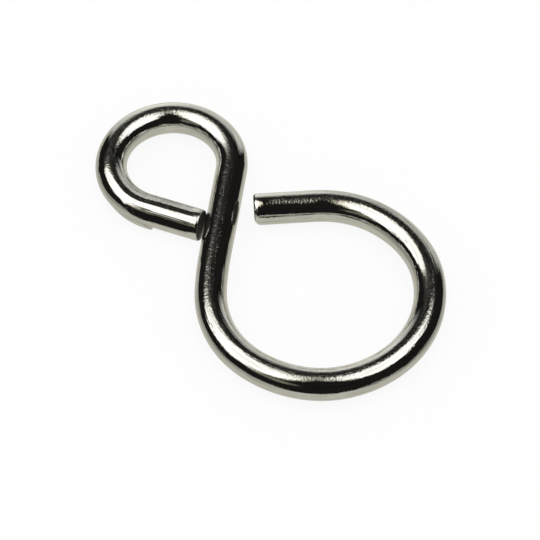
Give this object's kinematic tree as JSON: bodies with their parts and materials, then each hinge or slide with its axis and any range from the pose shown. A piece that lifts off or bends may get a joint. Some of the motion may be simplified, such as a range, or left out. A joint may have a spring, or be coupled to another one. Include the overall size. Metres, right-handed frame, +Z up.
{
  "type": "s hook",
  "caption": "S hook bent from one length of round plated steel wire, with a small closed eye at one end and a larger, nearly closed hook at the other.",
  "frame": {"origin": "on the surface that the hook lies on, at the middle of its length and width", "axes": "+X from the eye to the open hook, +Z up, square to the plane that the wire is bent in; both loop centres lie on the X axis"},
  "size_m": [0.0394, 0.0232, 0.003],
  "materials": {
    "plated_wire": "bright nickel plate over drawn steel wire, with fine draw lines and light scratches"
  },
  "bodies": {
    "root": {"hook_wire": "plated_wire"}
  },
  "joints": []
}
